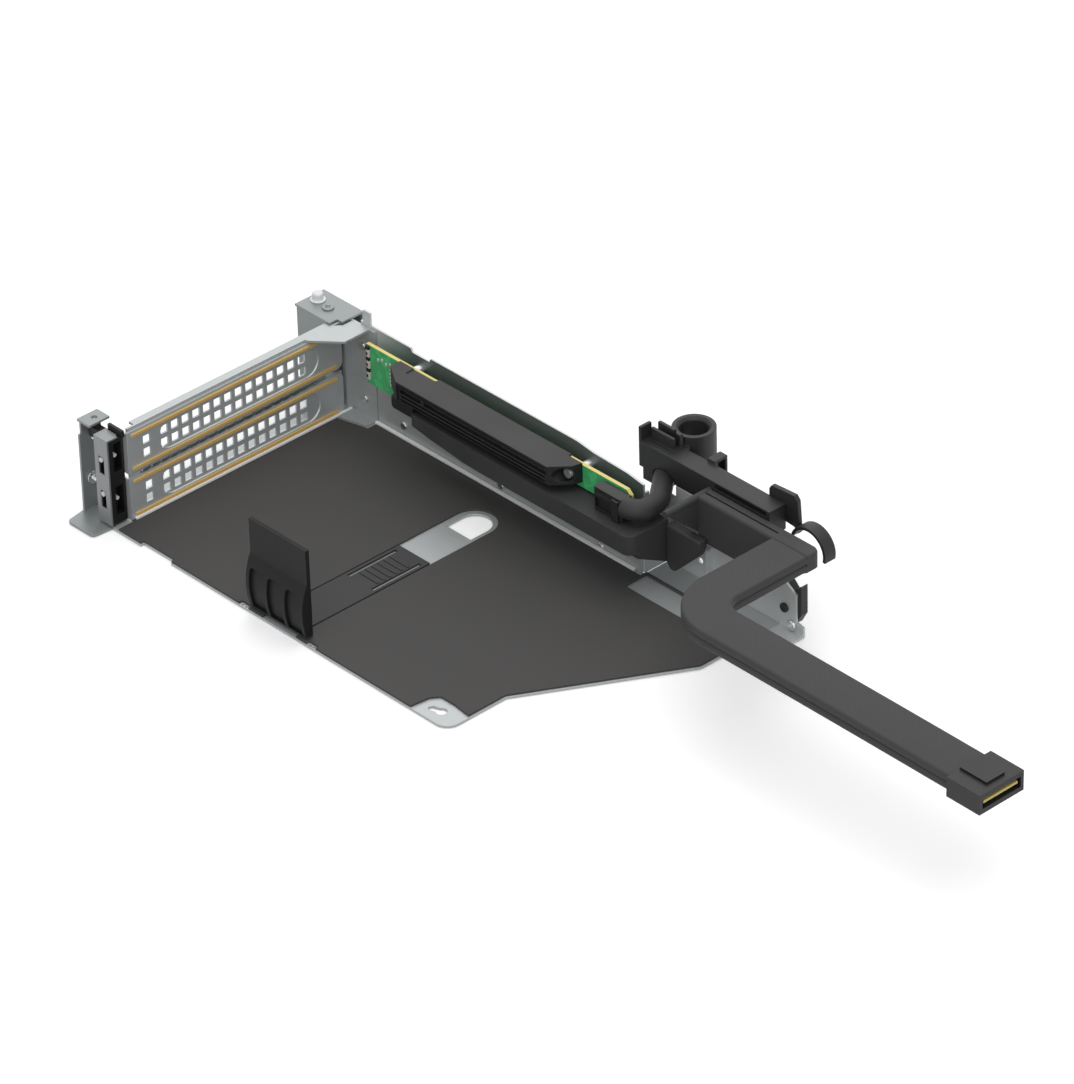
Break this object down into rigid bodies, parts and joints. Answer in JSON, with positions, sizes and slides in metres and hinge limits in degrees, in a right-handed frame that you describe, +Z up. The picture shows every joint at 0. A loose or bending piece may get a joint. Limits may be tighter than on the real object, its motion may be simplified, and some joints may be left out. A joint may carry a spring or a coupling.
{
  "type": "riser card cage",
  "caption": "Sheet-metal riser cage with perforated slot fillers, a riser board with card connector, a swinging card latch, a sliding card support and a flat signal cable.",
  "frame": {"origin": "underside of the floor, in line with the inner face of the slot fillers and the near end of their gaskets", "axes": "+X along the cage from the slot fillers to the free cable, +Y across the floor to the wall with the riser board, +Z up from the floor"},
  "size_m": [0.4123, 0.1679, 0.0538],
  "materials": {
    "plated_steel": "zinc-plated sheet, satin",
    "filler_steel": "zinc-plated sheet, satin",
    "gasket": "matt golden conductive strip",
    "spring_steel": "bright",
    "insulator": "fine-grained matt film",
    "fastener": "bright",
    "black_plastic": "moulded, satin",
    "pale_plastic": "satin",
    "circuit_board": "lacquered laminate with tan edges",
    "chip": "matt with bright ends",
    "connector_plastic": "moulded, satin",
    "contact": "bright gold plating",
    "cable_jacket": "smooth jacket",
    "cable_sleeve": "fine woven sleeve"
  },
  "bodies": {
    "cage": {"slot_frame": "plated_steel", "floor_tray": "plated_steel", "side_wall": "plated_steel", "guide_box": "plated_steel", "latch_post": "plated_steel", "filler_lower": "filler_steel", "filler_upper": "filler_steel", "gasket_lower": "gasket", "gasket_upper": "gasket", "grounding_springs": "spring_steel", "insulator_sheet": "insulator", "locating_pin": "fastener", "guide_screw": "fastener", "wall_rivets": "fastener", "frame_rivets": "fastener", "panel_button": "black_plastic", "panel_screw": "fastener", "post_rivet": "fastener", "latch_hinge_pin": "fastener", "riser_board": "circuit_board", "board_chips": "chip", "board_standoffs": "fastener", "board_screws": "fastener", "slot_housing": "connector_plastic", "slot_contacts": "contact", "slot_guard": "connector_plastic", "guard_screw": "fastener", "board_plugs": "connector_plastic", "side_header": "connector_plastic", "side_plug": "connector_plastic", "side_cable": "cable_jacket", "flat_sleeve": "cable_sleeve", "sleeve_fold": "cable_sleeve", "sleeve_standing": "cable_sleeve", "loom_elbow": "cable_sleeve", "signal_loom": "cable_sleeve", "loom_plug": "connector_plastic", "loom_paddle": "circuit_board", "cable_holder": "black_plastic", "cable_hook": "black_plastic", "edge_clip": "black_plastic"},
    "latch": {"latch_body": "black_plastic", "latch_cover": "plated_steel", "latch_pegs": "pale_plastic"},
    "support": {"card_support": "black_plastic"}
  },
  "joints": [
    {"name": "latch_hinge", "type": "hinge", "parent": "cage", "child": "latch", "pos_m": [-0.0162, -0.0051, 0.038], "axis": [0, 0, 1], "range_deg": [-80, 0]},
    {"name": "support_slide", "type": "slide", "parent": "cage", "child": "support", "axis": [0, 1, 0], "range_m": [0, 0.02]}
  ]
}
